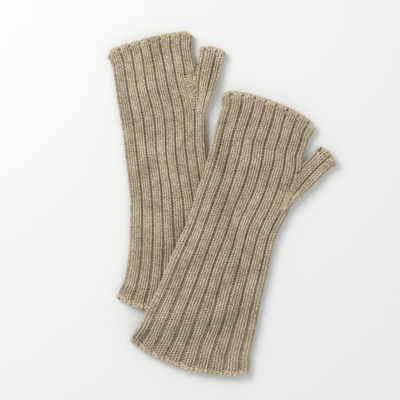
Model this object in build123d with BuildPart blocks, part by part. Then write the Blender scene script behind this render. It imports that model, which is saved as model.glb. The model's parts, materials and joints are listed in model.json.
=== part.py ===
from build123d import *
from dataclasses import dataclass
from math import cos, pi, radians, sin, sqrt
import os

os.makedirs("parts", exist_ok=True)

# A pair of long ribbed fingerless gloves, lying flat. The left glove lies partly over the right one.
# Lengths are in millimetres, and angles in degrees. Each glove has its own plan frame: the origin is
# on the wrist crease, y runs from there towards the fingers, and x towards the thumb side.

# the knitted tube
sleeve_height = 9.6       # two layers of rib with the hand space between them
fabric = 2.4              # thickness of one layer
edge_band = 3.0           # width of a bound-off or cast-on edge
hand_length = 115.0       # wrist crease to the crown of the finger end
arm_length = 147.0        # wrist crease to the crown of the cuff end
finger_bulge = 11.0       # how far the finger end's arc rises over its corners
cuff_bulge = 15.0         # how far the cuff end's arc drops below its corners

# the thumb, with the gusset that carries it
thumb_base_radius = 11.5
thumb_tip_half_width = 10.8
thumb_length = 42.0       # thumb pivot to the crown of the tip
thumb_tip_bulge = 2.5
thumb_pivot_s = 56.5      # distance of the pivot from the wrist crease
gusset_point_s = 37.0     # where the gusset starts, from the wrist crease
gusset_inset = 9.0        # distance of the gusset's point from the side fold
gusset_bulge = 4.0        # how far the gusset pushes the side fold out
gusset_span = 26.0        # half the length of that push
thumb_closing = 8.0       # degrees that the thumb swings towards the fingers

# fits
clearance = 0.3           # between bodies that move on each other
drape_gap = 0.6           # between the two gloves, one on the other
drape_margin = 9.0        # how far the top glove stays at full height past the lower one's outline
side_drape = 22.0         # distance in which the top glove then comes down beside the lower one
cuff_drape = 24.0         # the same, beyond the lower glove's cuff
under_trim = 0.5          # cut off the undersides, so that they are flat

# how the sleeves are drawn
reach = 76.0              # half the width of the zones that cut a sleeve to length
overrun = 6.0             # how far a sleeve is drawn past its ends
station_step = 13.0       # largest distance between two sections
section_points = 13       # points across a section


@dataclass
class Lay:
    """How one glove lies: its place, how wide it lies, and how its ends are turned."""

    name: str
    x: float
    y: float
    angle: float
    finger_half_width: float
    wrist_half_width: float
    cuff_half_width: float
    cuff_shift: float         # sideways shift of the cuff end, as the glove lies bent
    finger_turn: float
    cuff_turn: float
    thumb_angle: float        # from the glove's axis, towards its thumb side
    thumb_pivot_out: float    # distance of the thumb pivot outside the side fold
    on_top: bool

    def plane(self):
        turn = radians(self.angle)
        return Plane(origin=(self.x, self.y, 0), x_dir=(cos(turn), sin(turn), 0), z_dir=(0, 0, 1))

    def centre(self, s):
        return self.cuff_shift * (s / arm_length) ** 2 if s < 0 else 0.0

    def half_width(self, s):
        if s < 0:
            return self.wrist_half_width + (self.cuff_half_width - self.wrist_half_width) * (s / arm_length) ** 2
        return self.wrist_half_width + (self.finger_half_width - self.wrist_half_width) * (s / hand_length) ** 2

    def left(self, s):
        return self.centre(s) - self.half_width(s)

    def right(self, s):
        return self.centre(s) + self.half_width(s) + gusset_bulge * ease(abs(s - thumb_pivot_s) / gusset_span)

    def thumb_pivot(self):
        return (self.half_width(thumb_pivot_s) + self.thumb_pivot_out, thumb_pivot_s)


def ease(t):
    """1 up to t = 0, 0 from t = 1, and a smooth half wave between them."""
    return (1 + cos(pi * min(max(t, 0.0), 1.0))) / 2


right_glove = Lay("right_glove", x=-51.5, y=42.1, angle=8.4, finger_half_width=40.5, wrist_half_width=38.5,
                  cuff_half_width=54.0, cuff_shift=-10.0, finger_turn=3.0, cuff_turn=-7.0,
                  thumb_angle=23.0, thumb_pivot_out=2.0, on_top=False)
left_glove = Lay("left_glove", x=11.5, y=-13.9, angle=-17.4, finger_half_width=45.0, wrist_half_width=42.0,
                 cuff_half_width=57.5, cuff_shift=0.0, finger_turn=-1.0, cuff_turn=4.0,
                 thumb_angle=30.0, thumb_pivot_out=0.5, on_top=True)


def arc_radius(half_chord, bulge):
    return (half_chord ** 2 + bulge ** 2) / (2 * bulge)


def end_point(crown, side, radius, turn, x):
    """A point of an end's arc, x to the side of its crown. side is 1 for a finger end and -1 for a cuff."""
    drop = radius - sqrt(radius ** 2 - x ** 2)
    a = radians(turn)
    along = -side * drop
    return (crown[0] + x * cos(a) - along * sin(a), crown[1] + x * sin(a) + along * cos(a))


def finger_arc(lay, inset):
    radius = arc_radius(lay.finger_half_width, finger_bulge)
    crown = (0.0, hand_length - inset)
    return [end_point(crown, 1, radius, lay.finger_turn, x) for x in (-reach, 0.0, reach)]


def cuff_arc(lay, inset):
    radius = arc_radius(lay.cuff_half_width, cuff_bulge)
    crown = (lay.centre(-arm_length), inset - arm_length)
    return [end_point(crown, -1, radius, lay.cuff_turn, x) for x in (-reach, 0.0, reach)]


def crease_line(offset):
    return [(-reach, offset), (0.0, offset), (reach, offset)]


def past_cuff(x, s):
    """How far a point of the right glove's plan frame lies beyond its cuff end."""
    radius = arc_radius(right_glove.cuff_half_width, cuff_bulge)
    crown_x = right_glove.centre(-arm_length)
    offset = min(max(x - crown_x, -reach), reach)
    return end_point((crown_x, -arm_length), -1, radius, right_glove.cuff_turn, offset)[1] - s


def lift(lay, x, s):
    """Height of a glove's underside: the glove on top lies over the other, and comes down beside it."""
    if not lay.on_top:
        return 0.0
    place = lay.plane().from_local_coords(Vector(x, s, 0))
    under = right_glove.plane().to_local_coords(place)
    beside = ease((under.X - right_glove.right(under.Y) - drape_margin) / side_drape)
    beyond = ease((past_cuff(under.X, under.Y) - drape_margin) / cuff_drape)
    return (sleeve_height + drape_gap) * beside * beyond


def stations(start, end):
    count = int((end - start) / station_step) + 2
    return [start + (end - start) * i / (count - 1) for i in range(count)]


def section(plane, left, right, underside, inset):
    """One flattened cross-section of a knitted tube, inset from its outer face."""
    low = inset - under_trim if inset == 0 else inset
    high = sleeve_height - inset
    round_end = (high - low) / 2
    first = left + inset + round_end
    last = right - inset - round_end
    across = [first + (last - first) * i / (section_points - 1) for i in range(section_points)]
    bottom = [(x, underside(x) + low) for x in across]
    top = [(x, underside(x) + high) for x in across]
    with BuildSketch(plane) as face:
        with BuildLine():
            Spline(*bottom)
            ThreePointArc(bottom[-1], (last + round_end, underside(last) + (low + high) / 2), top[-1])
            Spline(*reversed(top))
            ThreePointArc(top[0], (first - round_end, underside(first) + (low + high) / 2), bottom[0])
        make_face()
    return face.sketch


def upright_plane(frame, s):
    """The plane across a tube at distance s along its frame: x across, y up."""
    return Plane(origin=frame.from_local_coords((0, s, 0)), x_dir=frame.x_dir, z_dir=-frame.y_dir)


def sleeve(lay, inset):
    frame = lay.plane()
    sections = []
    for s in stations(-arm_length - overrun, hand_length + overrun):
        sections.append(section(upright_plane(frame, s), lay.left(s), lay.right(s),
                                lambda x, s=s: lift(lay, x, s), inset))
    return sections


def thumb_frame(lay, swing=0.0):
    """The thumb's own plan frame: the origin on its pivot, y towards its tip."""
    pivot = lay.thumb_pivot()
    return Plane(origin=lay.plane().from_local_coords((pivot[0], pivot[1], 0)),
                 x_dir=lay.plane().x_dir, z_dir=(0, 0, 1)).rotated((0, 0, swing - lay.thumb_angle))


def thumb_half_width(s):
    return thumb_base_radius + (thumb_tip_half_width - thumb_base_radius) * s / thumb_length


def thumb_sleeve(lay, inset):
    frame = thumb_frame(lay)
    sections = []
    for s in (-2 * thumb_base_radius, thumb_length + overrun):
        half = thumb_half_width(s)
        sections.append(section(upright_plane(frame, s), -half, half, lambda x: 0.0, inset))
    return sections


def zone_face(frame, low, high):
    """The plan area between two ends, each given by three points from left to right."""
    with BuildSketch(frame) as face:
        with BuildLine():
            for start, middle, finish in (low, high):
                if abs(start[1] - middle[1]) + abs(finish[1] - middle[1]) < 0.001:
                    Line(start, finish)
                else:
                    ThreePointArc(start, middle, finish)
            Line(low[0], high[0])
            Line(low[2], high[2])
        make_face()
    return face.sketch


def thumb_arc(inset):
    radius = arc_radius(thumb_tip_half_width, thumb_tip_bulge)
    wide = thumb_tip_half_width + 1.0
    crown = (0.0, thumb_length - inset)
    return [end_point(crown, 1, radius, 0.0, x) for x in (-wide, 0.0, wide)]


def thumb_seat(lay, swing):
    """The plan area that the thumb fills or swings through, with its clearance."""
    wide = thumb_base_radius + clearance
    with BuildSketch(thumb_frame(lay, swing)) as area:
        Circle(wide)
        with Locations((0, thumb_length)):
            Rectangle(2 * wide, 2 * thumb_length)
    return area.sketch


def gusset_face(lay):
    """The wedge at the side fold that widens from the gusset's point to the thumb."""
    pivot = lay.thumb_pivot()
    tip = (lay.half_width(gusset_point_s) - gusset_inset, gusset_point_s)
    with BuildSketch(lay.plane()) as face:
        with BuildLine():
            Polyline(tip, (pivot[0] - thumb_base_radius, pivot[1]), (pivot[0], pivot[1]),
                     (reach, pivot[1]), (reach, gusset_point_s), close=True)
        make_face()
    return face.sketch


def knit(lay, name, outer, inner, zone, *cuts, keep=None):
    """One piece of a glove: its tube, cut to its zone, with other areas cut away or kept alone."""
    tall = 3 * sleeve_height
    with BuildPart() as piece:
        loft(outer, ruled=True)
        loft(inner, ruled=True, mode=Mode.SUBTRACT)
        extrude(zone, amount=tall, both=True, mode=Mode.INTERSECT)
        if keep is not None:
            extrude(keep, amount=tall, both=True, mode=Mode.INTERSECT)
        for cut in cuts:
            extrude(cut, amount=tall, both=True, mode=Mode.SUBTRACT)
        split(bisect_by=Plane.XY, keep=Keep.TOP)
    piece.part.label = f"{lay.name}_{name}"
    export_step(piece.part, f"parts/{lay.name}_{name}.step")
    return piece.part


half_gap = clearance / 2
for lay in (right_glove, left_glove):
    frame = lay.plane()
    outer = sleeve(lay, 0.0)
    inner = sleeve(lay, fabric)
    seat = thumb_seat(lay, 0.0)
    closed_seat = thumb_seat(lay, thumb_closing)
    gusset = gusset_face(lay)
    hand_zone = zone_face(frame, crease_line(half_gap), finger_arc(lay, edge_band))

    knit(lay, "cuff_edge", outer, inner, zone_face(frame, cuff_arc(lay, 0.0), cuff_arc(lay, edge_band)))
    knit(lay, "wrist_rib", outer, inner, zone_face(frame, cuff_arc(lay, edge_band), crease_line(-half_gap)))
    knit(lay, "hand_rib", outer, inner, hand_zone, seat, closed_seat, gusset)
    knit(lay, "thumb_gusset", outer, inner, hand_zone, seat, closed_seat, keep=gusset)
    knit(lay, "finger_edge", outer, inner, zone_face(frame, finger_arc(lay, edge_band), finger_arc(lay, 0.0)))

    thumb_outer = thumb_sleeve(lay, 0.0)
    thumb_inner = thumb_sleeve(lay, fabric)
    thumb_plan = thumb_frame(lay)
    with BuildSketch(thumb_plan) as thumb_area:
        Circle(thumb_base_radius)
        with Locations((0, thumb_length)):
            Rectangle(2 * reach, 2 * thumb_length)
    knit(lay, "thumb_rib", thumb_outer, thumb_inner, thumb_area.sketch,
         zone_face(thumb_plan, thumb_arc(edge_band), thumb_arc(-3 * overrun)))
    knit(lay, "thumb_edge", thumb_outer, thumb_inner,
         zone_face(thumb_plan, thumb_arc(edge_band), thumb_arc(0.0)))
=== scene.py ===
"""A pair of long ribbed fingerless gloves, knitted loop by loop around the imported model.

Lengths are in millimetres inside the shape classes, and turn to metres when a mesh is made. Each glove has
a plan frame of its own: x towards its thumb side, s from the wrist crease towards the fingers, z up.
"""

import json
import logging
from dataclasses import dataclass, field
from enum import Enum
from typing import Callable

import bpy
import numpy as np
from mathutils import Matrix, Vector


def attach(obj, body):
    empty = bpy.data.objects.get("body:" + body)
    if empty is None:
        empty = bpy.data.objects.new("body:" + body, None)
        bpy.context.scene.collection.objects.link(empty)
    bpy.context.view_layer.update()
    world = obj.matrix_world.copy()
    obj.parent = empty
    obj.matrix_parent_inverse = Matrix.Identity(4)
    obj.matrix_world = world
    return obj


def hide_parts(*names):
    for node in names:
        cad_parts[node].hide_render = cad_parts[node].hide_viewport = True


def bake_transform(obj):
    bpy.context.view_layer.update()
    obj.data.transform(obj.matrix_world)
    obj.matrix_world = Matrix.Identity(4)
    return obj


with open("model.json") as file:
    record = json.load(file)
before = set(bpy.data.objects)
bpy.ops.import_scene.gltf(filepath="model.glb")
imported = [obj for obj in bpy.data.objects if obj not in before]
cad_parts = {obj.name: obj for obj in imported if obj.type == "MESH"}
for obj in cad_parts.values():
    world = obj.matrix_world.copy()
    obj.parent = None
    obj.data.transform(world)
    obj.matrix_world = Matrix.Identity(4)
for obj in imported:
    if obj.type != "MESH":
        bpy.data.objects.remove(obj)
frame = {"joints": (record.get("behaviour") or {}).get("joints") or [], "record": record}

MM = 0.001
THUMB_PROBES = 25              # places on the thumb's line that are tested for what lies beneath
SURFACE_PASSES = 3             # passes that settle the ends' curves and the outline together
TWO_PI = 2 * np.pi
BAKE_MAP = "OFBake"
PLY_MAP = "ply"
PLY_PITCH = 0.0042             # yarn length, in metres, in which its two plies wind round once
BAKE_LENGTH = 0.998            # how much of the bake map's length a strand's strip takes
BAKE_GIRTH = 0.94              # how much of its own row the strip takes
BAKE_START = 0.03              # where in its row it starts
THICKNESS = "thickness"        # the attributes that carry the paths' facts into the swept mesh
ALONG = "along"
ROW = "row"
Array = np.ndarray
Surface = Callable[[Array, Array], Array]

log = logging.getLogger("gloves")


class Face(Enum):
    """Which side of a glove lies up."""

    PALM = "palm"
    BACK = "back"


def joint(name: str) -> dict:
    """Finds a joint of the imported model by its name."""
    return next(j for j in frame["joints"] if j["name"] == name)


def mount(name: str) -> dict:
    """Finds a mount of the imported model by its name."""
    return next(m for m in frame["record"]["mounts"] if m["name"] == name)


def ease(t: Array) -> Array:
    """Half a cosine wave: 1 up to t = 0, and 0 from t = 1."""
    return (1 + np.cos(np.pi * np.clip(t, 0.0, 1.0))) / 2


# ---------------------------------------------------------------- finishes


def linear(hex_colour: str) -> tuple[float, float, float, float]:
    """Turns an sRGB hex colour to linear RGBA.

    Args:
        hex_colour: six hexadecimal digits, with or without a leading hash.

    Returns:
        The linear red, green and blue, and an alpha of 1.
    """
    digits = hex_colour.lstrip("#")
    channels = [int(digits[i:i + 2], 16) / 255 for i in (0, 2, 4)]
    values = [c / 12.92 if c <= 0.04045 else ((c + 0.055) / 1.055) ** 2.4 for c in channels]
    return (values[0], values[1], values[2], 1.0)


def add_node(tree: bpy.types.NodeTree, kind: str, settings: dict | None = None,
             values: dict | None = None, links: dict | None = None) -> bpy.types.Node:
    """Adds a node with its settings, socket values and incoming links.

    Args:
        tree: the node tree that gets the node.
        kind: the node's type name.
        settings: attributes of the node itself.
        values: default values of input sockets, by name or index.
        links: output sockets to join to input sockets, by name or index.

    Returns:
        The new node.
    """
    node = tree.nodes.new(kind)
    for key, value in (settings or {}).items():
        setattr(node, key, value)
    for key, value in (values or {}).items():
        node.inputs[key].default_value = value
    for key, socket in (links or {}).items():
        tree.links.new(socket, node.inputs[key])
    return node


@dataclass(frozen=True)
class HeatherWool:
    """Heather wool yarn, carded from light and dark fleece and spun woollen: matt, fuzzy and mottled.

    The eye gets a soft beige with short light and dark flecks along the yarn, no gloss, and a pale rim where
    the loose fibres catch the light.
    """

    name: str
    base: str = "#c5b49c"
    dark: str = "#96826a"
    light: str = "#e6dac6"
    fleck_mm: float = 1.6      # length of a fleck of one fleece
    blend_mm: float = 14.0     # how far the blend of fleeces drifts
    fibre_mm: float = 0.35     # loose fibres, drawn thicker than life so that they show
    fibre_depth_mm: float = 0.2
    fibre_strength: float = 0.5
    ply_depth_mm: float = 0.16  # groove between the two plies, and 0 for loose fibre
    ply_strength: float = 0.8
    # painted shade: how much the colour darkens in the groove between the plies
    ply_groove_painted_shade: tuple[float, float] = (0.16, -0.12)     # gain and start of the darker groove, on the ramp
    drift_share: float = 0.35  # how much the drift adds to the flecks
    dark_stop: float = 0.46    # places of the three colours on the ramp
    base_stop: float = 0.66
    light_stop: float = 0.90
    roughness: float = 0.92
    sheen: float = 0.22
    sheen_roughness: float = 0.45
    specular: float = 0.2

    def material(self) -> bpy.types.Material:
        """Builds the node material.

        Returns:
            The material, which reads Object coordinates and, for plied yarn, the winding map.
        """
        made = bpy.data.materials.new(self.name)
        made.use_nodes = True
        tree = made.node_tree
        tree.nodes.clear()
        place = add_node(tree, "ShaderNodeTexCoord").outputs["Object"]
        fleck = add_node(tree, "ShaderNodeTexNoise",
                         values={"Scale": 1 / (self.fleck_mm * MM), "Detail": 3.0, "Roughness": 0.62},
                         links={"Vector": place})
        drift = add_node(tree, "ShaderNodeTexNoise",
                         values={"Scale": 1 / (self.blend_mm * MM), "Detail": 2.0, "Roughness": 0.5},
                         links={"Vector": place})
        blend = add_node(tree, "ShaderNodeMath", {"operation": "MULTIPLY_ADD"}, {1: self.drift_share},
                         {0: drift.outputs["Fac"], 2: fleck.outputs["Fac"]})
        ramp = add_node(tree, "ShaderNodeValToRGB", links={"Fac": blend.outputs[0]})
        stops = ramp.color_ramp.elements
        stops[0].position, stops[0].color = self.dark_stop, linear(self.dark)
        stops[1].position, stops[1].color = self.light_stop, linear(self.light)
        middle = stops.new(self.base_stop)
        middle.color = linear(self.base)
        fibre = add_node(tree, "ShaderNodeTexNoise",
                         values={"Scale": 1 / (self.fibre_mm * MM), "Detail": 2.0, "Roughness": 0.6},
                         links={"Vector": place})
        bump = add_node(tree, "ShaderNodeBump",
                        values={"Strength": self.fibre_strength, "Distance": self.fibre_depth_mm * MM},
                        links={"Height": fibre.outputs["Fac"]})
        if self.ply_depth_mm > 0:
            bump = self.twist(tree, ramp, blend, bump)
        shader = add_node(tree, "ShaderNodeBsdfPrincipled",
                          values={"Roughness": self.roughness, "Sheen Weight": self.sheen,
                                  "Sheen Roughness": self.sheen_roughness,
                                  "Sheen Tint": linear(self.light),
                                  "Specular IOR Level": self.specular},
                          links={"Base Color": ramp.outputs["Color"], "Normal": bump.outputs["Normal"]})
        add_node(tree, "ShaderNodeOutputMaterial", links={"Surface": shader.outputs["BSDF"]})
        return made

    def twist(self, tree: bpy.types.NodeTree, ramp: bpy.types.Node, blend: bpy.types.Node,
              fibres: bpy.types.Node) -> bpy.types.Node:
        """Adds the two plies winding round each other, with painted shade darkening the colour in the groove
        between them.

        Args:
            tree: the material's node tree.
            ramp: the node that turns the blend of fleeces to a colour.
            blend: the node that gives that blend.
            fibres: the bump of the loose fibres.

        Returns:
            The bump node that holds both plies and fibres.
        """
        winding = add_node(tree, "ShaderNodeUVMap", {"uv_map": PLY_MAP})
        apart = add_node(tree, "ShaderNodeSeparateXYZ", links={"Vector": winding.outputs["UV"]})
        turn = add_node(tree, "ShaderNodeMath", {"operation": "ADD"},
                        links={0: apart.outputs["X"], 1: apart.outputs["Y"]})
        angle = add_node(tree, "ShaderNodeMath", {"operation": "MULTIPLY"}, {1: TWO_PI},
                         {0: turn.outputs[0]})
        wave = add_node(tree, "ShaderNodeMath", {"operation": "SINE"}, links={0: angle.outputs[0]})
        lobe = add_node(tree, "ShaderNodeMath", {"operation": "ABSOLUTE"}, links={0: wave.outputs[0]})
        round_lobe = add_node(tree, "ShaderNodeMath", {"operation": "POWER"}, {1: 0.5},
                              {0: lobe.outputs[0]})
        # painted shade: the ramp's input drops where the plies' lobe is low, so the groove between them is
        # darker
        gain, start = self.ply_groove_painted_shade
        shade = add_node(tree, "ShaderNodeMath", {"operation": "MULTIPLY_ADD"}, {1: gain, 2: start},
                         {0: round_lobe.outputs[0]})
        shaded = add_node(tree, "ShaderNodeMath", {"operation": "ADD"},
                          links={0: blend.outputs[0], 1: shade.outputs[0]})
        tree.links.new(shaded.outputs[0], ramp.inputs["Fac"])
        return add_node(tree, "ShaderNodeBump",
                        values={"Strength": self.ply_strength, "Distance": self.ply_depth_mm * MM},
                        links={"Height": round_lobe.outputs[0], "Normal": fibres.outputs["Normal"]})


@dataclass(frozen=True)
class Plain:
    """One even matt colour, for the floor."""

    name: str
    colour: str
    roughness: float = 0.9
    specular: float = 0.1

    def material(self) -> bpy.types.Material:
        """Builds the material.

        Returns:
            The material, with every value on the shader's own sockets.
        """
        made = bpy.data.materials.new(self.name)
        made.use_nodes = True
        shader = made.node_tree.nodes["Principled BSDF"]
        shader.inputs["Base Color"].default_value = linear(self.colour)
        shader.inputs["Roughness"].default_value = self.roughness
        shader.inputs["Specular IOR Level"].default_value = self.specular
        return made


# ---------------------------------------------------------------- the yarn


class YarnSweep:
    """A Geometry Nodes tree that turns paths into round yarn."""

    def __init__(self) -> None:
        """Builds the tree once for every piece."""
        self.tree = bpy.data.node_groups.new("yarn_sweep", "GeometryNodeTree")
        for name, way, kind in (("Paths", "INPUT", "Geometry"), ("Radius", "INPUT", "Float"),
                                ("Sides", "INPUT", "Int"), ("Finish", "INPUT", "Material"),
                                ("Yarn", "OUTPUT", "Geometry")):
            self.tree.interface.new_socket(name, in_out=way, socket_type="NodeSocket" + kind)
        given = add_node(self.tree, "NodeGroupInput").outputs
        curve = add_node(self.tree, "GeometryNodeMeshToCurve", links={"Mesh": given["Paths"]})
        thickness = add_node(self.tree, "GeometryNodeInputNamedAttribute", {"data_type": "FLOAT"},
                             {"Name": THICKNESS})
        profile = add_node(self.tree, "GeometryNodeCurvePrimitiveCircle",
                           links={"Radius": given["Radius"], "Resolution": given["Sides"]})
        swept = add_node(self.tree, "GeometryNodeCurveToMesh", values={"Fill Caps": True},
                         links={"Curve": curve.outputs["Curve"],
                                "Profile Curve": profile.outputs["Curve"],
                                "Scale": thickness.outputs["Attribute"]})
        real = add_node(self.tree, "GeometryNodeRealizeInstances",
                        links={"Geometry": swept.outputs["Mesh"]})
        dressed = add_node(self.tree, "GeometryNodeSetMaterial",
                           links={"Geometry": real.outputs["Geometry"], "Material": given["Finish"]})
        add_node(self.tree, "NodeGroupOutput", links={"Yarn": dressed.outputs["Geometry"]})

    def spin(self, name: str, paths: "Paths", radius: float, sides: int,
             finish: bpy.types.Material) -> bpy.types.Object:
        """Sweeps round yarn along paths and returns it as a plain mesh object.

        Args:
            name: the piece's name.
            paths: the yarn's centre lines, in metres.
            radius: the yarn's radius in metres.
            sides: how many flat sides stand for the round yarn.
            finish: the piece's material.

        Returns:
            A mesh object with no modifier, with a map in which every stretch of yarn has its own place.
        """
        raw = bpy.data.meshes.new(name + "_paths")
        raw.from_pydata(paths.points(), paths.edges(), [])
        facts = ((THICKNESS, paths.thickness()), (ALONG, paths.along()), (ROW, paths.rows()))
        for key, numbers in facts:
            layer = raw.attributes.new(key, "FLOAT", "POINT")
            layer.data.foreach_set("value", numbers.astype(np.float32))
        draft = bpy.data.objects.new(name + "_draft", raw)
        bpy.context.scene.collection.objects.link(draft)
        modifier = draft.modifiers.new("yarn", "NODES")
        modifier.node_group = self.tree
        sockets = {item.name: item.identifier for item in self.tree.interface.items_tree
                   if item.in_out == "INPUT"}
        modifier[sockets["Radius"]] = radius
        modifier[sockets["Sides"]] = sides
        modifier[sockets["Finish"]] = finish
        bpy.context.view_layer.update()
        evaluated = draft.evaluated_get(bpy.context.evaluated_depsgraph_get())
        mesh = bpy.data.meshes.new_from_object(evaluated)
        mesh.name = name
        bpy.data.objects.remove(draft)
        bpy.data.meshes.remove(raw)
        mesh.shade_smooth()
        lay_out_yarn(mesh, sides, len(paths.strands), paths.turns())
        if not mesh.materials:
            mesh.materials.append(finish)
        made = bpy.data.objects.new(name, mesh)
        bpy.context.scene.collection.objects.link(made)
        return made


def lay_out_yarn(mesh: bpy.types.Mesh, sides: int, strand_count: int, turns: int) -> None:
    """Gives swept yarn two maps: one strip for each strand to bake on, and the winding of its plies.

    Args:
        mesh: the swept yarn, whose rings of vertices follow each other.
        sides: vertices in a ring.
        strand_count: how many strands the mesh holds.
        turns: how often the plies wind round each other in a strand.
    """
    count = len(mesh.vertices)
    along, row = np.empty(count, np.float32), np.empty(count, np.float32)
    mesh.attributes[ALONG].data.foreach_get("value", along)
    mesh.attributes[ROW].data.foreach_get("value", row)
    corners = np.empty(len(mesh.loops), np.int32)
    mesh.loops.foreach_get("vertex_index", corners)
    sizes = np.empty(len(mesh.polygons), np.int32)
    mesh.polygons.foreach_get("loop_total", sizes)
    face = np.repeat(np.arange(len(sizes)), sizes)
    around = (np.arange(count) % sides) / sides
    across, up = along[corners], around[corners]
    for value in (across, up):
        high = np.full(len(sizes), -1.0)
        np.maximum.at(high, face, value)
        value[(high[face] - value) > 0.5] += 1.0
    height = (row[corners] + BAKE_START + BAKE_GIRTH * up) / strand_count
    places = np.stack([across * BAKE_LENGTH, height], axis=1)
    winding = np.stack([across * turns, up], axis=1)
    for name, numbers in ((BAKE_MAP, places), (PLY_MAP, winding)):
        mesh.uv_layers.new(name=name).data.foreach_set("uv", numbers.astype(np.float32).ravel())
    for key in (ALONG, ROW, THICKNESS):
        if key in mesh.attributes:
            mesh.attributes.remove(mesh.attributes[key])


@dataclass
class Paths:
    """Centre lines of yarn, closed or open, collected strand by strand."""

    strands: list[Array] = field(default_factory=list)
    weights: list[Array] = field(default_factory=list)
    closed: list[bool] = field(default_factory=list)

    def add(self, points: Array, thickness: Array, closed: bool) -> None:
        """Adds one strand.

        Args:
            points: its points, in metres.
            thickness: its relative thickness at each point.
            closed: whether its end joins its start.
        """
        self.strands.append(points)
        self.weights.append(thickness)
        self.closed.append(closed)

    def points(self) -> Array:
        """All points, one strand after another."""
        return np.concatenate(self.strands)

    def edges(self) -> Array:
        """Pairs neighbouring points.

        Returns:
            Rows of two point numbers, with no pair across two strands.
        """
        pairs, start = [], 0
        for points, closed in zip(self.strands, self.closed):
            index = np.arange(start, start + len(points))
            pair = np.stack([index, np.roll(index, -1)], axis=1)
            pairs.append(pair if closed else pair[:-1])
            start += len(points)
        return np.concatenate(pairs)

    def thickness(self) -> Array:
        """The relative thickness at each point."""
        return np.concatenate(self.weights)

    def along(self) -> Array:
        """How far each point is along its strand, from 0 to 1."""
        return np.concatenate([np.arange(len(p)) / len(p) for p in self.strands])

    def rows(self) -> Array:
        """The number of each point's strand."""
        return np.concatenate([np.full(len(p), i) for i, p in enumerate(self.strands)])

    def turns(self) -> int:
        """How often two plies wind round each other in a strand of middling length."""
        lengths = [np.linalg.norm(np.diff(one, axis=0), axis=1).sum() for one in self.strands]
        return max(1, round(float(np.median(lengths)) / PLY_PITCH))


# ---------------------------------------------------------------- the shape of a glove


@dataclass
class Tube:
    """A knitted tube's form: how ribs and courses lie on its flattened surface.

    A place on the tube is q, counted in ribs round it from the left fold over the upper layer, and v,
    counted in courses from its first one.
    """

    ribs: int
    upper_ribs: float          # ribs on the upper layer
    first_groove: float        # ribs from the left fold to the first purl wale
    courses: int
    half_thickness: float      # from the middle of the tube to the middle of one layer

    def flat_section(self, q: Array, left: Array, right: Array) -> tuple[Array, Array]:
        """Finds a place on a flattened cross-section with round side folds.

        Args:
            q: ribs from the left fold.
            left: the tube's left edge at each place.
            right: its right edge.

        Returns:
            The distance across, and the height over the middle of the tube.
        """
        a = self.half_thickness
        q = np.mod(q, self.ribs)
        upper = q <= self.upper_ribs
        share = np.where(upper, q / self.upper_ribs, (self.ribs - q) / (self.ribs - self.upper_ribs))
        flat = np.maximum(right - left - 2 * a, 0.1)
        length = share * (flat + np.pi * a)
        quarter = np.pi * a / 2
        start = np.clip(length / a, 0, np.pi / 2)
        end = np.clip((length - quarter - flat) / a, 0, np.pi / 2)
        x = left + a * (1 - np.cos(start)) + np.clip(length - quarter, 0, flat) + a * np.sin(end)
        z = a * np.sin(start) - a * (1 - np.cos(end))
        return x, np.where(upper, z, -z)


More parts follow.
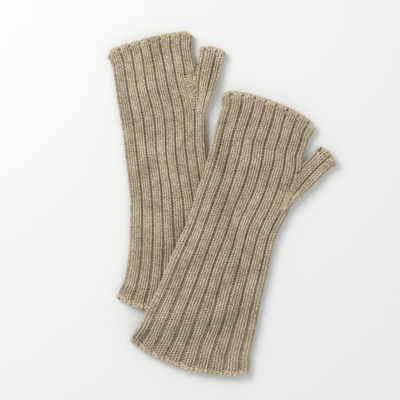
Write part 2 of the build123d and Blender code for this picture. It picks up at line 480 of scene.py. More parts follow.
@dataclass
class Glove:
    """One glove: its sizes, its lie, and the surfaces that its stitches follow."""

    side: str
    face: Face
    on_top: bool
    wrist_half: float
    finger_half: float
    cuff_half: float
    cuff_shift: float
    cuff_power: float          # 2 flares evenly, and more flares late
    finger_bow: float          # how far the finger end drops to its corners, in an even curve
    finger_slope: float        # how much higher its right corner is than its middle
    cuff_bow: float
    cuff_slope: float
    bulge: float
    bulge_s: float
    bulge_spans: tuple[float, float]   # how far the gusset's push reaches to the cuff and to the fingers
    bulge_late: float          # 1 fades the push evenly towards the fingers, and more holds it longer
    thumb_start: tuple[float, float]
    thumb_knee: tuple[float, float]
    thumb_end: tuple[float, float]
    thumb_base_half: float
    thumb_tip_half: float
    first_groove: float
    thumb_first_groove: float
    seed: int
    gore: tuple[tuple[float, float], ...] = ()   # foot, top left and top right of the gore
    finger_corner: float = 5.0  # how far the very corners round off
    cuff_corner: float = 1.0
    finger_flare: float = 2.6
    cuff_flare: float = 2.6
    finger_hem: float = 2.6    # how much of the length the bound-off edge takes
    cuff_hem: float = 4.0
    thumb_ribs: float = 2.2    # ribs on the thumb's upper layer
    skin: float = 1.5          # from the layer's middle out to the tops of its stitches
    middle_height: float = 4.9
    rest_height: float = 9.7   # how much this glove is raised where it lies on the other one
    curve_limit: float = 1.3   # half-widths past which the cuff's curve is held
    waver: tuple[float, float] = (0.28, 9.5)           # a quick waver's height and length
    slow_waver: tuple[float, float] = (0.4, 23.0)
    right_phase: float = 2.0   # the right fold's waver beside the left one's
    rib_phase: float = 0.13    # how the waver changes from rib to rib, for each millimetre
    drape_gap: float = 1.0     # how far past the other glove's edge the slope starts
    drape_side: float = 17.0   # length of the slope beside the other glove
    drape_end: float = 24.0    # and beyond its cuff
    cuff_flare_length: float = 18.0
    finger_flare_length: float = 13.0
    bow_reach: float = 2.4     # the ends' curves fade out over the length divided by this
    bow_fade: float = 1.3
    corner_power: int = 12     # how sharply the corners round off
    ribs_around: int = 17
    ribs_above: float = 8.4
    layer_height: float = 2.55         # from the tube's middle to the middle of one layer
    thumb_courses: int = 26
    thumb_ribs_around: int = 5
    thumb_layer_height: float = 2.3
    thumb_grown: float = 0.7   # how far up the thumb reaches its full width
    thumb_flare: float = 0.9
    thumb_flare_span: float = 0.16
    thumb_sag: float = 2.2 / 60.0      # how far its end's corners fall back, as a share of its length
    thumb_raise: float = 0.7   # how much higher its upper layer stands from its root to past its middle
    thumb_lower: float = -0.4  # the share of that which its lower layer takes
    thumb_raise_span: tuple[float, float] = (0.55, 0.3)        # where on its line that fades, and over what
    thumb_dip: float = 0.8     # how much of the thumb's height is lost at its root
    thumb_dip_span: tuple[float, float] = (0.03, 0.12)
    root: float = 0.13         # where on the thumb's line the main tube begins to give way to it
    cover_inside: float = 1.2  # the thumb fully covers what lies this far inside its edge
    cover_fade: float = 1.8
    gore_dip: float = 1.4      # over which the fabric dips at the gore's sides
    gore_over: float = 1.0     # how far past the gore's right side it stays down
    gore_foot: tuple[float, float] = (0.06, 0.05)      # where up the gore the dip starts, and over what
    gore_top: tuple[float, float] = (0.99, 0.03)
    under: "Glove | None" = None
    origin: Array = field(init=False)
    across: Array = field(init=False)
    onward: Array = field(init=False)
    hand_length: float = field(init=False)
    arm_length: float = field(init=False)
    length: float = field(init=False)
    tube: Tube = field(init=False)
    thumb: Tube = field(init=False)

    def __post_init__(self) -> None:
        """Reads the glove's place and lengths from the frame."""
        bend = joint(f"{self.side}_wrist_bend")
        self.origin = np.array(bend["pos_m"][:2]) / MM
        self.across = np.array(bend["axis"][:2])
        self.onward = np.array([-self.across[1], self.across[0]])
        finger = np.array(mount(f"{self.side}_finger_opening")["pos_m"][:2]) / MM
        cuff = np.array(mount(f"{self.side}_cuff_opening")["pos_m"][:2]) / MM
        self.hand_length = float((finger - self.origin) @ self.onward)
        self.arm_length = float((self.origin - cuff) @ self.onward)
        self.length = self.hand_length + self.arm_length - self.finger_hem - self.cuff_hem
        courses = round(self.length / Stitch.course)
        self.tube = Tube(self.ribs_around, self.ribs_above, self.first_groove, courses, self.layer_height)
        self.thumb = Tube(self.thumb_ribs_around, self.thumb_ribs, self.thumb_first_groove,
                          self.thumb_courses, self.thumb_layer_height)

    # plan

    def to_row(self, x: Array, s: Array, z: Array) -> Array:
        """Turns plan places of this glove to the row frame, in millimetres."""
        flat = self.origin + np.multiply.outer(x, self.across) + np.multiply.outer(s, self.onward)
        return np.concatenate([flat, z[..., None]], axis=-1)

    def to_plan(self, places: Array) -> tuple[Array, Array]:
        """Turns places of the row frame to this glove's plan."""
        offset = places[..., :2] - self.origin
        return offset @ self.across, offset @ self.onward

    def centre(self, s: Array) -> Array:
        """The middle line's sideways place."""
        return np.where(s < 0, self.cuff_shift * np.abs(s / self.arm_length) ** self.cuff_power, 0.0)

    def half_width(self, s: Array) -> Array:
        """Finds half the width, without the gusset.

        Args:
            s: places along the glove.

        Returns:
            From the middle line to the middle of the layer at the fold, in millimetres.
        """
        cuff = (self.cuff_half - self.wrist_half) * np.abs(s / self.arm_length) ** self.cuff_power
        hand = (self.finger_half - self.wrist_half) * (s / self.hand_length) ** 2
        return self.wrist_half - self.skin + np.where(s < 0, cuff, hand)

    def left(self, s: Array) -> Array:
        """The left fold's place."""
        return self.centre(s) - self.half_width(s)

    def right(self, s: Array) -> Array:
        """Finds the right fold's place, pushed out by the gusset.

        Args:
            s: places along the glove.

        Returns:
            The sideways places.
        """
        below = ease((self.bulge_s - s) / self.bulge_spans[0])
        above = ease(np.clip((s - self.bulge_s) / self.bulge_spans[1], 0, 1) ** self.bulge_late)
        push = self.bulge * below * above
        return self.centre(s) + self.half_width(s) + push

    def lift(self, x: Array, s: Array) -> Array:
        """Finds how high this glove is raised where it lies over the other one.

        Args:
            x: places towards the thumb side, in this glove's plan.
            s: places towards the fingers.

        Returns:
            The heights, in millimetres, and 0 all over for a glove that lies on nothing.
        """
        if self.under is None:
            return np.zeros_like(x)
        low = self.under
        ux, us = low.to_plan(self.to_row(x, s, np.zeros_like(x)))
        beside = ease((ux - low.right(us) - self.drape_gap) / self.drape_side)
        edge = -low.arm_length + low.cuff_rise((ux - low.centre(us)) / low.cuff_half)
        beyond = ease((edge - us - self.drape_gap) / self.drape_end)
        return self.rest_height * beside * beyond

    def cuff_rise(self, u: Array) -> Array:
        """Finds the cuff end's curve.

        Args:
            u: places across, in half-widths from the middle.

        Returns:
            How far the end is above its middle, in millimetres.
        """
        u = np.clip(u, -self.curve_limit, self.curve_limit)
        corner = self.cuff_corner * np.abs(u) ** self.corner_power
        return self.cuff_bow * u ** 2 + self.cuff_slope * u + corner

    def finger_fall(self, u: Array) -> Array:
        """How far the finger end is below its middle, u half-widths from it."""
        corner = self.finger_corner * np.abs(u) ** self.corner_power
        return self.finger_bow * u ** 2 - self.finger_slope * u + corner

    def surface(self, q: Array, v: Array) -> Array:
        """Finds places on the main tube's middle surface.

        Args:
            q: ribs from the left fold.
            v: courses from the first one.

        Returns:
            The places in the row frame, in millimetres.
        """
        rise = v / self.tube.courses
        s0 = -self.arm_length + self.cuff_hem + self.length * rise
        below, above = v * Stitch.course, (self.tube.courses - v) * Stitch.course
        flare = self.cuff_flare * ease(below / self.cuff_flare_length)
        flare = flare + self.finger_flare * ease(above / self.finger_flare_length)
        reach = self.bow_reach
        near_cuff = np.clip(1 - reach * rise, 0, 1) ** self.bow_fade
        near_fingers = np.clip(reach * rise - (reach - 1), 0, 1) ** self.bow_fade
        s = s0
        for _ in range(SURFACE_PASSES):
            left = self.left(s) - flare + self.wander(s, 0.0)
            right = self.right(s) + flare + self.wander(s, self.right_phase)
            x, z = self.tube.flat_section(q, left, right)
            middle = (left + right) / 2
            u = np.clip((x - middle) / ((right - left) / 2), -1, 1)
            s = s0 + near_cuff * self.cuff_rise(u) - near_fingers * self.finger_fall(u)
        inner = ease(np.abs(x - (left + right) / 2) / (right - left) * 2)
        x = x + self.wander(s, self.rib_phase * x) * inner
        height = self.middle_height + z + self.lift(x, s)
        return self.to_row(x, s, height)

    def wander(self, s: Array, phase: Array | float) -> Array:
        """Makes the hand-knit fabric waver from side to side.

        Args:
            s: places along the glove.
            phase: shifts the waves, in radians.

        Returns:
            The shifts across, in millimetres.
        """
        height, length = self.waver
        slow_height, slow_length = self.slow_waver
        quick = height * np.sin(s / length + self.seed + phase)
        return quick + slow_height * np.sin(s / slow_length + 1.7 * self.seed - phase)

    def thumb_line(self, t: Array) -> tuple[Array, Array]:
        """Follows the thumb's middle line, in plan.

        Args:
            t: places on it, from 0 at its root to 1 at its tip.

        Returns:
            The places and the directions there.
        """
        p0, p1, p2 = (np.array(p) for p in (self.thumb_start, self.thumb_knee, self.thumb_end))
        t = t[..., None]
        place = (1 - t) ** 2 * p0 + 2 * t * (1 - t) * p1 + t ** 2 * p2
        way = 2 * (1 - t) * (p1 - p0) + 2 * t * (p2 - p1)
        return place, way / np.linalg.norm(way, axis=-1, keepdims=True)

    def thumb_half(self, t: Array) -> Array:
        """Finds half the thumb's width.

        Args:
            t: places on its middle line, from 0 to 1.

        Returns:
            The half-widths, in millimetres.
        """
        grown = np.clip(t / self.thumb_grown, 0, 1)
        grown = grown * grown * (3 - 2 * grown)
        flare = self.thumb_flare * ease((1 - t) / self.thumb_flare_span)
        return self.thumb_base_half + (self.thumb_tip_half - self.thumb_base_half) * grown + flare

    def thumb_surface(self, q: Array, v: Array) -> Array:
        """Finds places on the thumb tube's middle surface.

        Args:
            q: ribs from the thumb's left fold.
            v: courses from its first one.

        Returns:
            The places in the row frame, in millimetres.
        """
        t = v / self.thumb.courses
        half = self.thumb_half(t)
        across, z = self.thumb.flat_section(q, -half, half)
        sag = -self.thumb_sag * (across / half) ** 2 * np.clip(t, 0, 1) ** 2
        place, way = self.thumb_line(np.clip(t + sag, -0.1, 1.2))
        x = place[..., 0] + across * way[..., 1]
        s = place[..., 1] - across * way[..., 0]
        (raised, fade), (dipped, rise) = self.thumb_raise_span, self.thumb_dip_span
        over = self.thumb_raise * ease((t - raised) / fade) * np.where(z > 0, 1, self.thumb_lower)
        depth = (z + over) * (1 - self.thumb_dip * ease((t - dipped) / rise))
        return self.to_row(x, s, self.middle_height + depth + self.lift(x, s))

    def under_thumb(self, places: Array) -> Array:
        """Finds what lies beneath the thumb.

        Args:
            places: in the row frame, in millimetres.

        Returns:
            How far, from 0 to 1, each place lies beneath it.
        """
        x, s = self.to_plan(places)
        best = np.zeros_like(x)
        for t in np.linspace(self.root, 1.0, THUMB_PROBES):
            place, _ = self.thumb_line(np.array(t))
            near = np.hypot(x - place[0], s - place[1])
            past = near - self.thumb_half(np.array(t)) + self.cover_inside
            best = np.maximum(best, ease(past / self.cover_fade))
        return best

    def gore_edges(self, s: Array) -> tuple[Array, Array, Array]:
        """Finds the gore's two sides.

        Args:
            s: places along the glove.

        Returns:
            The left and the right side's place across, and how far up the gore s is, from 0 to 1.
        """
        foot, top_left, top_right = self.gore
        up = (s - foot[1]) / (top_left[1] - foot[1])
        return foot[0] + (top_left[0] - foot[0]) * up, foot[0] + (top_right[0] - foot[0]) * up, up

    def pressed_in(self, places: Array, upper: Array) -> Array:
        """Finds where the tube's stitches make room for the thumb and the gore.

        Args:
            places: in the row frame, in millimetres.
            upper: whether each place is on the upper layer.

        Returns:
            How far, from 0 to 1, each stitch is pressed in.
        """
        best = self.under_thumb(places)
        if self.gore:
            x, s = self.to_plan(places)
            left, right, up = self.gore_edges(s)
            side, (foot, foot_fade), (top, top_fade) = self.gore_dip, self.gore_foot, self.gore_top
            inside = ease((left + side - x) / side) * ease((x - right - self.gore_over) / side)
            length = ease((foot - up) / foot_fade) * ease((up - top) / top_fade)
            best = np.maximum(best, inside * length * upper)
        return best


# ---------------------------------------------------------------- stitches


@dataclass(frozen=True)
class Stitch:
    """One loop of yarn: how tall, wide and deep it runs."""

    course: float = 2.53       # height of a course, in millimetres
    radius: float = 0.88       # half the yarn's thickness, in millimetres
    reach: float = 0.80        # half a loop's height, in courses
    lean: float = 0.165        # how far the legs lean, in wales
    depth: float = 0.72        # how far legs stand before heads and feet, in millimetres
    samples: int = 10          # points in a loop
    sides: int = 6
    corner: float = 3.4        # how quickly a loop turns from a knit wale to a purl one
    purl_yarn: float = 0.8     # thickness of the yarn in a purl wale, beside a knit one's
    valley: float = -2.75      # height of a closed purl wale, in millimetres
    valley_rise: float = 8.0   # how much it comes up as its share of the rib grows
    dome_foot: float = -0.95   # height of a rib's sides, in millimetres
    dome: float = 1.5          # how much its middle stands over them
    sink: float = 3.0          # how deep a stitch is pressed in, in millimetres
    closed_purl: float = 0.15  # a purl wale's share of its rib where the rib is drawn in
    open_purl: float = 0.2     # and by how much that may grow before the valley is at its shallowest
    uneven_place: float = 0.008        # in ribs
    uneven_height: float = 0.05        # in courses
    uneven_depth: float = 0.06         # in millimetres
    uneven_yarn: float = 0.05          # of its thickness


@dataclass(frozen=True)
class ChainLoop:
    """One loop of a bound-off edge's chain, which lies over the end of a wale."""

    samples: int = 14          # points in a loop
    length: float = 0.62       # half its length, in wales, where the edge lies even
    shorter: float = 0.17      # how much of that a notched edge takes away
    width: float = 0.46        # half its width, in courses
    taper: float = 0.35
    towards_rib: float = 0.05  # how far a knit wale's loop is drawn to its rib's middle, in ribs
    pucker: float = 0.3        # how far a purl wale's loop draws in, in courses, on an even edge
    pucker_more: float = 1.2   # and how much further on a notched one
    tilt: float = 0.5          # how far its ends stand up and down, in millimetres
    knit_level: float = 0.5    # its middle's height, in millimetres
    purl_level: float = -0.2
    purl_yarn: float = 0.75
    uneven_place: float = 0.012
    uneven_height: float = 0.09
    uneven_depth: float = 0.1


@dataclass(frozen=True)
class ShortRow:
    """The small uneven stitches of the gore's short rows."""

    foot_gap: float = 3.0      # from the gore's foot to its first row, in millimetres
    top_gap: float = 0.5
    course: float = 0.93       # height of a row, in courses
    wale: float = 2.3          # width of a stitch, in millimetres
    reach: float = 0.62        # half a loop's height, in courses
    level: float = -0.1
    depth: float = 1.1         # of its relief, beside the rib's
    slant: float = 0.06        # how much a row climbs to the thumb side
    yarn: float = 0.9
    uneven_row: float = 0.15
    uneven_height: float = 0.3
    uneven_depth: float = 0.45


class Fabric:
    """Ribbed fabric on a tube: two knit wales and one purl wale to a rib."""

    wales_per_rib = 3
    full_rib = 6.6             # a rib narrower than this, in millimetres, has its stitches drawn in
    least_full = 0.45          # and no further than to this share
    # The fibre skin stands for the matted fibre between the loops; its dark colour is painted shade.
    skin_columns = 8           # faces of the fibre skin to a rib
    skin_depth = 0.5           # how far the skin lies below the middle surface, in millimetres
    groove_depth = 2.3         # and how much deeper under a purl wale
    groove_share = 0.4         # the share of a purl wale's width where it is at its deepest
    groove_fade = 0.16         # in ribs

    def __init__(self, tube: Tube, surface: Surface, stitch: Stitch, seed: int,
                 purl_share: Callable[[Array, Array], Array],
                 sink: Callable[[Array, Array], Array] | None = None) -> None:
        """Keeps the form that the stitches follow.

        Args:
            tube: the tube's ribs and courses.
            surface: gives the place of q and v, in millimetres.
            stitch: the loop's form.
            seed: of the small irregularities.
            purl_share: the share of a rib's width that its purl wale takes, by q and v.
            sink: how far, from 0 to 1, stitches are pressed in, by their places and whether they lie up.
        """
        self.tube, self.surface, self.stitch = tube, surface, stitch
        self.seed, self.purl_share, self.sink = seed, purl_share, sink

    def frame_at(self, q: Array, v: Array) -> tuple[Array, Array, Array]:
        """Finds places on the fabric and the way out of it.

        Args:
            q: ribs from the left fold.
            v: courses from the first one.

        Returns:
            The places, the outward normals, and how full a rib is: 1, or less where it is narrow.
        """
        place = self.surface(q, v)
        step, up_step = 0.02, 0.25
        round_way = self.surface(q + step, v) - self.surface(q - step, v)
        up_way = self.surface(q, v + up_step) - self.surface(q, v - up_step)
        normal = np.cross(round_way, up_way)
        wide = np.linalg.norm(round_way, axis=-1) / (2 * step * self.full_rib)
        full = np.clip(wide, self.least_full, 1.0)
        return place, normal / np.maximum(np.linalg.norm(normal, axis=-1, keepdims=True), 1e-9), full

    def widths(self, q_rib: Array, v: Array) -> tuple[Array, Array]:
        """The widths, in ribs, of a rib's purl wale and of each of its knit wales."""
        purl = self.purl_share(q_rib, v)
        return purl, (1 - purl) / 2

    def course_path(self, v: float) -> tuple[Array, Array]:
        """The closed path of one course, in millimetres, and its thickness.

        Args:
            v: the course's number.

        Returns:
            The points of the path, and the yarn's relative thickness at each.
        """
        form, count = self.stitch, self.tube.ribs * self.wales_per_rib
        rng = np.random.default_rng(self.seed + int(v * 10))
        wale = np.repeat(np.arange(count), form.samples)
        t = np.tile((np.arange(form.samples) + 0.5) / form.samples, count)
        turn = TWO_PI * t
        rib, kind = wale // self.wales_per_rib, wale % self.wales_per_rib
        rib_q = self.tube.first_groove + rib
        purl, knit = self.widths(rib_q, np.full_like(t, v))
        start = np.where(kind == 0, -purl / 2, purl / 2 + (kind - 1) * knit)
        width = np.where(kind == 0, purl, knit)
        loose = rng.normal(0, 1, (3, count + 1))
        loose[:, -1] = loose[:, 0]
        wander = [np.interp(wale + t, np.arange(count + 1), one) for one in loose]
        q = rib_q + start + width * (t + form.lean * np.sin(2 * turn)) + form.uneven_place * wander[0]
        tall = v - form.reach * np.cos(turn) + form.uneven_height * wander[1]
        from_purl = np.where(kind == 1, t, 1 - t)
        side = np.where(kind == 0, -np.clip(np.minimum(t, 1 - t) * form.corner, 0, 1),
                        np.clip(from_purl * form.corner, 0, 1))
        valley = form.valley + form.valley_rise * np.clip(purl - form.closed_purl, 0, form.open_purl)
        rib_place = np.where(kind == 1, t / 2, 0.5 + t / 2)
        dome = form.dome_foot + form.dome * np.sin(np.pi * rib_place) ** 0.5
        level = np.where(kind == 0, valley, dome)
        rise = -form.depth * side * np.cos(2 * turn) + level + form.uneven_depth * wander[2]
        place, normal, full = self.frame_at(q, tall)
        rise = self.pressed(rise * full, place, normal)
        yarn = np.where(kind == 0, form.purl_yarn, 1.0)
        thickness = (1 + form.uneven_yarn * wander[2]) * yarn * full
        return place + normal * rise[:, None], thickness

    def pressed(self, rise: Array, place: Array, normal: Array) -> Array:
        """Lowers stitches where something lies on them.

        Args:
            rise: their heights over the middle surface, in millimetres.
            place: their places.
            normal: the outward normals there.

        Returns:
            The lowered heights.
        """
        if self.sink is None:
            return rise
        return rise - self.stitch.sink * self.sink(place, normal[:, 2] > 0)

    def courses(self, first: int, last: int) -> Paths:
        """Knits a stretch of courses.

        Args:
            first: the number of the lowest course.
            last: the number after the highest one.

        Returns:
            One closed path for each course.
        """
        paths = Paths()
        for v in range(first, last):
            points, thickness = self.course_path(float(v))
            paths.add(points * MM, thickness, True)
        return paths

    def chain(self, v: float, outward: float, notch: float) -> Paths:
        """A bound-off edge: one linked loop lying over the end of each wale.

        Args:
            v: where the chain lies, in courses.
            outward: 1 where the fabric ends upwards, and -1 where it ends downwards.
            notch: how strongly the edge draws in at each purl wale, from 0 to 1.

        Returns:
            The closed paths of the chain's loops.
        """
        paths, loop = Paths(), ChainLoop()
        rng = np.random.default_rng(self.seed + 7)
        turn = TWO_PI * np.arange(loop.samples) / loop.samples
        for wale in range(self.tube.ribs * self.wales_per_rib):
            rib, kind = divmod(wale, self.wales_per_rib)
            rib_q = np.array([self.tube.first_groove + rib])
            purl, knit = self.widths(rib_q, np.array([v]))
            start = -purl[0] / 2 if kind == 0 else purl[0] / 2 + (kind - 1) * knit[0]
            width = purl[0] if kind == 0 else knit[0]
            inwards = (0.0, loop.towards_rib, -loop.towards_rib)[kind] * notch
            middle = rib_q[0] + start + width / 2 + inwards
            long = width * (loop.length - loop.shorter * notch)
            q = middle + long * np.cos(turn) + rng.normal(0, loop.uneven_place)
            pucker = 0.0 if kind else loop.pucker + loop.pucker_more * notch
            spread = loop.width * np.sin(turn) * (1 - loop.taper * np.cos(turn))
            tall = v + outward * (spread - pucker) + rng.normal(0, loop.uneven_height)
            place, normal, full = self.frame_at(q, tall)
            level = loop.knit_level if kind else loop.purl_level - notch
            rise = (loop.tilt * np.cos(turn) + level + rng.normal(0, loop.uneven_depth)) * full
            yarn = full * (1.0 if kind else loop.purl_yarn)
            paths.add((place + normal * rise[:, None]) * MM, yarn, True)
        return paths

    def painted_shade_skin(self, name: str, first: float, last: float, rows: int, finish: bpy.types.Material,
                half: float = 0.22) -> bpy.types.Object:
        """The matted fibre between the loops: a thin closed skin through the middle of the fabric, whose
        darker colour is painted shade in the gaps and grooves between the loops.

        Args:
            name: the piece's name.
            first: the course where it starts.
            last: the course where it ends.
            rows: how many rows of faces it has.
            finish: its material.
            half: half its thickness, in millimetres.

        Returns:
            The skin as a mesh object.
        """
        around = self.tube.ribs * self.skin_columns
        q, v = np.meshgrid(self.tube.ribs * np.arange(around) / around,
                           np.linspace(first, last, rows + 1))
        q, v = q.ravel(), v.ravel()
        phase = np.mod(q - self.tube.first_groove + 0.5, 1) - 0.5
        purl = self.purl_share(q, v)
        groove = ease((np.abs(phase) - purl * self.groove_share) / self.groove_fade)
        place, normal, full = self.frame_at(q, v)
        rise = self.pressed((-self.skin_depth - self.groove_depth * groove) * full, place, normal)
        outer = place + normal * (rise + half)[:, None]
        inner = place + normal * (rise - half)[:, None]
        size = around * (rows + 1)
        index = np.arange(size).reshape(rows + 1, around)
        a, b = index[:-1], np.roll(index, -1, axis=1)[:-1]
        c, d = np.roll(index, -1, axis=1)[1:], index[1:]
        skin = np.stack([a, b, c, d], axis=-1).reshape(-1, 4)
        lining = skin[:, ::-1] + size
        low, low_next = index[0], np.roll(index[0], -1)
        top, top_next = index[-1], np.roll(index[-1], -1)
        hem = np.stack([low_next, low, low + size, low_next + size], axis=-1)
        brim = np.stack([top, top_next, top_next + size, top + size], axis=-1)
        faces = np.concatenate([skin, lining, hem, brim])
        mesh = bpy.data.meshes.new(name)
        mesh.from_pydata(np.concatenate([outer, inner]) * MM, [], faces.tolist())
        mesh.shade_smooth()
        mesh.materials.append(finish)
        made = bpy.data.objects.new(name, mesh)
        bpy.context.scene.collection.objects.link(made)
        return made


# ---------------------------------------------------------------- a knitted glove


@dataclass
class Knitter:
    """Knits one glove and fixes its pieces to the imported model's bodies."""

    glove: Glove
    sweep: YarnSweep
    rib_finish: bpy.types.Material
    edge_finish: bpy.types.Material
    # the fibre skin's finish: a darker copy of the wool, painted shade between the loops
    painted_shade_finish: bpy.types.Material
    stitch: Stitch = field(default_factory=Stitch)
    edge_yarn: float = 1.1     # radius of the doubled yarn in the cuff's and the fingers' chains
    thumb_edge_yarn: float = 0.86
    cuff_chain: tuple[float, float] = (-0.9, 0.25)     # courses from the end, and how notched it is
    finger_chain: tuple[float, float] = (-0.1, 0.9)
    skin_start: float = -0.4   # how far the fibre runs past the first course
    skin_end: float = 0.6      # and how far it stops before the last
    cuff_opening: tuple[float, float] = (0.09, 0.42)   # more purl at the cuff, and over how much length
    finger_opening: tuple[float, float] = (0.03, 0.25)
    fold_opening: tuple[float, float] = (0.08, 1.3)    # more beside the left fold, and over how many ribs
    fold_rib: float = 0.9
    purl_limits: tuple[float, float] = (0.05, 0.3)
    crease_courses: tuple[int, int] = (12, 13)         # before and after the wrist's crease
    crease_length: float = 28.0        # a length past the wrist's crease; its point is found and not used
    thumb_turn: tuple[float, float] = (0.12, 0.72)     # two places on the thumb's line; their points are found and not used
    hand_fabric: Fabric = field(init=False)
    thumb_fabric: Fabric = field(init=False)

    def __post_init__(self) -> None:
        """Makes the two fabrics."""
        glove = self.glove
        self.hand_fabric = Fabric(glove.tube, glove.surface, self.stitch, glove.seed, self.purl_share,
                                  glove.pressed_in)
        self.thumb_fabric = Fabric(glove.thumb, glove.thumb_surface, self.stitch, glove.seed + 5000,
                                   lambda q, v: np.full_like(q, self.stitch.closed_purl))

    def purl_share(self, q: Array, v: Array) -> Array:
        """Opens the purl wales towards both ends, and hides them where the rib draws in.

        Args:
            q: ribs from the left fold.
            v: courses from the first one.

        Returns:
            The purl wale's share of its rib.
        """
        rise = v / self.glove.tube.courses
        cuff = ease(rise / self.cuff_opening[1])
        finger = ease((1 - rise) / self.finger_opening[1])
        fold = 0.0
        if self.glove.on_top:
            fold = ease(np.abs(np.mod(q, self.glove.tube.ribs) - self.fold_rib) / self.fold_opening[1])
        share = self.stitch.closed_purl + self.cuff_opening[0] * cuff + self.finger_opening[0] * finger
        return np.clip(share + self.fold_opening[0] * fold, *self.purl_limits)

    def body(self, part: str) -> str:
        """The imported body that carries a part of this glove."""
        return f"{self.glove.side}_{part}"

    def node(self, part: str) -> str:
        """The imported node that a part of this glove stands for."""
        return f"{self.glove.side}_glove_{part}"

    def plan_point(self, x: float, s: float) -> tuple[float, float, float]:
        """A point of this glove's plan, in the row frame, in metres."""
        place = self.glove.to_row(np.array(x), np.array(s), np.array(self.glove.middle_height)) * MM
        return (float(place[0]), float(place[1]), float(place[2]))

    def settle(self, piece: bpy.types.Object, nodes: list[str]) -> None:
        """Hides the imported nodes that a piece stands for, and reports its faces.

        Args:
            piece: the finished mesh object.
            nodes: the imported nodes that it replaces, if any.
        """
        if nodes:
            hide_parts(*nodes)
        log.info("%s: %d faces", piece.name, len(piece.data.polygons))

    def across_wrist(self, piece: bpy.types.Object) -> None:
        """Bakes a piece's transform into its mesh; the piece stays fixed to no body."""
        self.plan_point(0, 0)
        self.plan_point(0, self.crease_length)
        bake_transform(piece)

    def across_thumb(self, piece: bpy.types.Object) -> None:
        """Bakes a thumb piece's transform into its mesh; the piece stays fixed to no body.

        Args:
            piece: a mesh object of the thumb.
        """
        start, _ = self.glove.thumb_line(np.array(self.thumb_turn[0]))
        end, _ = self.glove.thumb_line(np.array(self.thumb_turn[1]))
        self.plan_point(*start)
        self.plan_point(*end)
        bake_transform(piece)

    def knit(self) -> None:
        """Knits every piece of the glove."""
        self.knit_tube()
        self.knit_edges()
        self.knit_thumb()
        if self.glove.face is Face.PALM:
            self.knit_gore()

    def knit_gore(self) -> None:
        """The gore between palm and thumb: short rows of small uneven stitches in a narrow wedge."""
        glove, form, row = self.glove, self.stitch, ShortRow()
        rng = np.random.default_rng(glove.seed + 90)
        foot, top = glove.gore[0][1], glove.gore[1][1]
        paths = Paths()
        for s in np.arange(foot + row.foot_gap, top - row.top_gap, form.course * row.course):
            left, right, _ = glove.gore_edges(np.array(s))
            count = max(1, round(float(right - left) / row.wale))
            t = np.tile((np.arange(form.samples) + 0.5) / form.samples, count)
            stitch = np.repeat(np.arange(count), form.samples)
            sign = rng.choice([-1.0, 1.0], count)[stitch]
            x = left + (right - left) * (stitch + t + form.lean * np.sin(2 * TWO_PI * t)) / count
            x = x + rng.normal(0, row.uneven_row)
            loop = s - form.course * row.reach * np.cos(TWO_PI * t)
            tall = loop + rng.normal(0, row.uneven_height, count)[stitch] + row.slant * (x - left)
            relief = row.level - row.depth * form.depth * sign * np.cos(2 * TWO_PI * t)
            lift = relief + rng.normal(0, row.uneven_depth, count)[stitch]
            height = glove.middle_height + glove.tube.half_thickness + lift
            paths.add(glove.to_row(x, tall, height) * MM, np.full(len(x), row.yarn), False)
        piece = self.sweep.spin(self.node("thumb_gore"), paths, form.radius * MM, form.sides,
                                self.rib_finish)
        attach(piece, self.body("hand"))
        self.settle(piece, [])

    def knit_tube(self) -> None:
        """The long tube, in five lengths, with the fibre skin between its loops, whose dark colour is
        painted shade.
        """
        total = self.glove.tube.courses
        wrist = total * (self.glove.arm_length - self.glove.cuff_hem) / self.glove.length
        before, after = self.crease_courses
        low, high = round(wrist) - before, round(wrist) + after
        spans = [
            ("cuff_courses", 0, low // 2, "wrist", []),
            ("forearm_courses", low // 2, low, "wrist", ["wrist_rib"]),
            ("wrist_courses", low, high, "", []),
            ("palm_courses", high, (high + total) // 2, "hand", ["hand_rib", "thumb_gusset"]),
            ("knuckle_courses", (high + total) // 2, total, "hand", []),
        ]
        radius = self.stitch.radius * MM
        for name, first, last, part, nodes in spans:
            piece = self.sweep.spin(self.node(name), self.hand_fabric.courses(first, last), radius,
                                    self.stitch.sides, self.rib_finish)
            self.carry(piece, part)
            self.settle(piece, [self.node(n) for n in nodes])
        for name, first, last, part in (("arm_fibre_painted_shade", self.skin_start, low, "wrist"),
                                        ("wrist_fibre_painted_shade", low, high, ""),
                                        ("hand_fibre_painted_shade", high, total - self.skin_end, "hand")):
            rows = max(int(last - first), 2)
            skin = self.hand_fabric.painted_shade_skin(self.node(name), first, last, rows, self.painted_shade_finish)
            self.carry(skin, part)
            self.settle(skin, [])

    def carry(self, piece: bpy.types.Object, part: str) -> None:
        """Fixes a piece of the long tube to the body it moves with, or leaves it on none.

        Args:
            piece: the finished mesh object.
            part: wrist or hand, and empty for a piece that lies between the two and is fixed to neither.
        """
        if part:
            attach(piece, self.body(part))
        else:
            self.across_wrist(piece)

    def knit_edges(self) -> None:
        """The cast-on edge at the cuff and the bound-off edge at the fingers."""
        total = self.glove.tube.courses
        (cuff_at, cuff_notch), (finger_at, finger_notch) = self.cuff_chain, self.finger_chain
        for name, v, outward, notch, part in (
                ("cuff_edge", cuff_at, -1.0, cuff_notch, "wrist"),
                ("finger_edge", total + finger_at, 1.0, finger_notch, "hand")):
            loops = self.hand_fabric.chain(v, outward, notch)
            piece = self.sweep.spin(self.node(name + "_chain"), loops, self.edge_yarn * MM,
                                    self.stitch.sides, self.edge_finish)
            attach(piece, self.body(part))
            self.settle(piece, [self.node(name)])

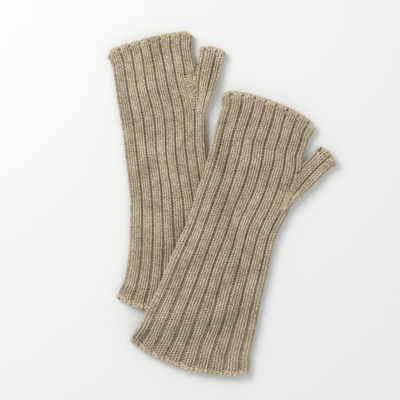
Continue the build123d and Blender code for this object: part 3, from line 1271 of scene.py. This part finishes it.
    def knit_thumb(self) -> None:
        """The thumb tube, its fibre skin, dark with painted shade, and its bound-off edge."""
        total = self.glove.thumb.courses
        piece = self.sweep.spin(self.node("thumb_courses"), self.thumb_fabric.courses(0, total),
                                self.stitch.radius * MM, self.stitch.sides, self.rib_finish)
        self.across_thumb(piece)
        self.settle(piece, [self.node("thumb_rib")])
        skin = self.thumb_fabric.painted_shade_skin(self.node("thumb_fibre_painted_shade"), 0.0, total - self.skin_end, total,
                                         self.painted_shade_finish)
        self.across_thumb(skin)
        self.settle(skin, [])
        edge_at, notch = self.finger_chain
        loops = self.thumb_fabric.chain(total + edge_at, 1.0, notch)
        chain = self.sweep.spin(self.node("thumb_edge_chain"), loops, self.thumb_edge_yarn * MM,
                                self.stitch.sides, self.edge_finish)
        self.across_thumb(chain)
        self.settle(chain, [self.node("thumb_edge")])


# ---------------------------------------------------------------- the studio


@dataclass
class Studio:
    """A pale floor, soft light from the upper left, and a camera straight above."""

    view_span: float = 0.3736      # width of floor that the camera sees, in metres
    view_centre: tuple[float, float] = (-0.0210, 0.0037)
    camera_height: float = 1.5
    sensor: float = 36.0
    floor_half: float = 3.0
    key_place: tuple[float, float, float] = (-0.85, 0.75, 1.15)
    key_size: float = 0.75         # the sides of the square lamps, in metres
    key_power: float = 13.5        # in watts
    fill_place: tuple[float, float, float] = (0.9, -0.6, 1.3)
    fill_size: float = 1.6
    fill_power: float = 3.0
    room_colour: str = "#f3f5f5"
    room_light: float = 0.62

    def build(self) -> None:
        """Builds the floor, the lights and the camera."""
        scene = bpy.context.scene
        scene.view_settings.view_transform = "Standard"
        self.floor()
        self.light("key", self.key_place, self.key_size, self.key_power)
        self.light("fill", self.fill_place, self.fill_size, self.fill_power)
        world = bpy.data.worlds.new("studio")
        world.use_nodes = True
        backdrop = world.node_tree.nodes["Background"]
        backdrop.inputs["Color"].default_value = linear(self.room_colour)
        backdrop.inputs["Strength"].default_value = self.room_light
        scene.world = world
        self.camera()

    def floor(self) -> None:
        """A wide pale floor."""
        h = self.floor_half
        mesh = bpy.data.meshes.new("floor")
        mesh.from_pydata([(-h, -h, 0), (h, -h, 0), (h, h, 0), (-h, h, 0)], [], [(0, 1, 2, 3)])
        mesh.materials.append(Plain("matt_paper_floor", "#f4f4f3").material())
        floor = bpy.data.objects.new("floor", mesh)
        bpy.context.scene.collection.objects.link(floor)

    def light(self, name: str, place: tuple[float, float, float], size: float, power: float) -> None:
        """Hangs a square soft lamp, aimed at the gloves.

        Args:
            name: the lamp's name.
            place: where it hangs, in metres.
            size: the length of its sides, in metres.
            power: in watts.
        """
        lamp = bpy.data.lights.new(name, "AREA")
        lamp.size = size
        lamp.energy = power
        thing = bpy.data.objects.new(name, lamp)
        thing.location = place
        thing.rotation_euler = (-Vector(place)).to_track_quat("-Z", "Y").to_euler()
        bpy.context.scene.collection.objects.link(thing)

    def camera(self) -> None:
        """A long lens straight above the gloves."""
        lens = bpy.data.cameras.new("camera")
        lens.sensor_width = self.sensor
        lens.lens = self.sensor * self.camera_height / self.view_span
        thing = bpy.data.objects.new("camera", lens)
        thing.location = (*self.view_centre, self.camera_height)
        bpy.context.scene.collection.objects.link(thing)
        bpy.context.scene.camera = thing


def main() -> None:
    """Builds the studio and knits the pair."""
    logging.basicConfig(level=logging.INFO, format="%(name)s %(message)s")
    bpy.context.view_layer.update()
    Studio().build()
    sweep = YarnSweep()
    rib = HeatherWool("woollen_spun_heather_rib").material()
    edge = HeatherWool("woollen_spun_heather_edge", base="#cdbda5", dark="#a38f76",
                       light="#e8dcc8").material()
    # a darker copy of the wool for the fibre skin: painted shade in the gaps and grooves between the loops
    painted_shade_skin = HeatherWool("matted_fibre_painted_shade", base="#8f7c62", dark="#74624b", light="#a8967c",
                          ply_depth_mm=0.0).material()
    right = Glove("right", Face.PALM, False, wrist_half=38.4, finger_half=38.0, cuff_half=56.3,
                  cuff_shift=-18.0, cuff_power=2.07, finger_bow=2.2, finger_slope=3.2,
                  cuff_bow=12.0, cuff_slope=-6.5, cuff_hem=9.5,
                  bulge=5.0, bulge_s=43.0, bulge_spans=(40.0, 31.0), bulge_late=1.0,
                  thumb_start=(35.0, 32.0), thumb_knee=(43.5, 60.0), thumb_end=(57.6, 95.5),
                  thumb_base_half=3.2, thumb_tip_half=9.7, first_groove=0.22,
                  thumb_first_groove=0.42, seed=11, gore=((32.0, 41.0), (26.6, 74.4), (38.4, 75.0)))
    left = Glove("left", Face.BACK, True, wrist_half=41.6, finger_half=43.8, cuff_half=57.2,
                 cuff_shift=-2.5, cuff_power=1.4, finger_bow=5.8, finger_slope=-2.2,
                 cuff_bow=10.5, cuff_slope=1.5,
                 bulge=5.0, bulge_s=38.0, bulge_spans=(50.0, 37.0), bulge_late=2.3,
                 thumb_start=(39.0, 14.0), thumb_knee=(44.0, 49.0), thumb_end=(66.0, 83.5),
                 thumb_base_half=2.6, thumb_tip_half=9.4, first_groove=0.75,
                 thumb_first_groove=0.25, seed=211, finger_hem=1.0, under=right)
    for glove in (right, left):
        Knitter(glove, sweep, rib, edge, painted_shade_skin).knit()


if __name__ == "__main__":
    main()
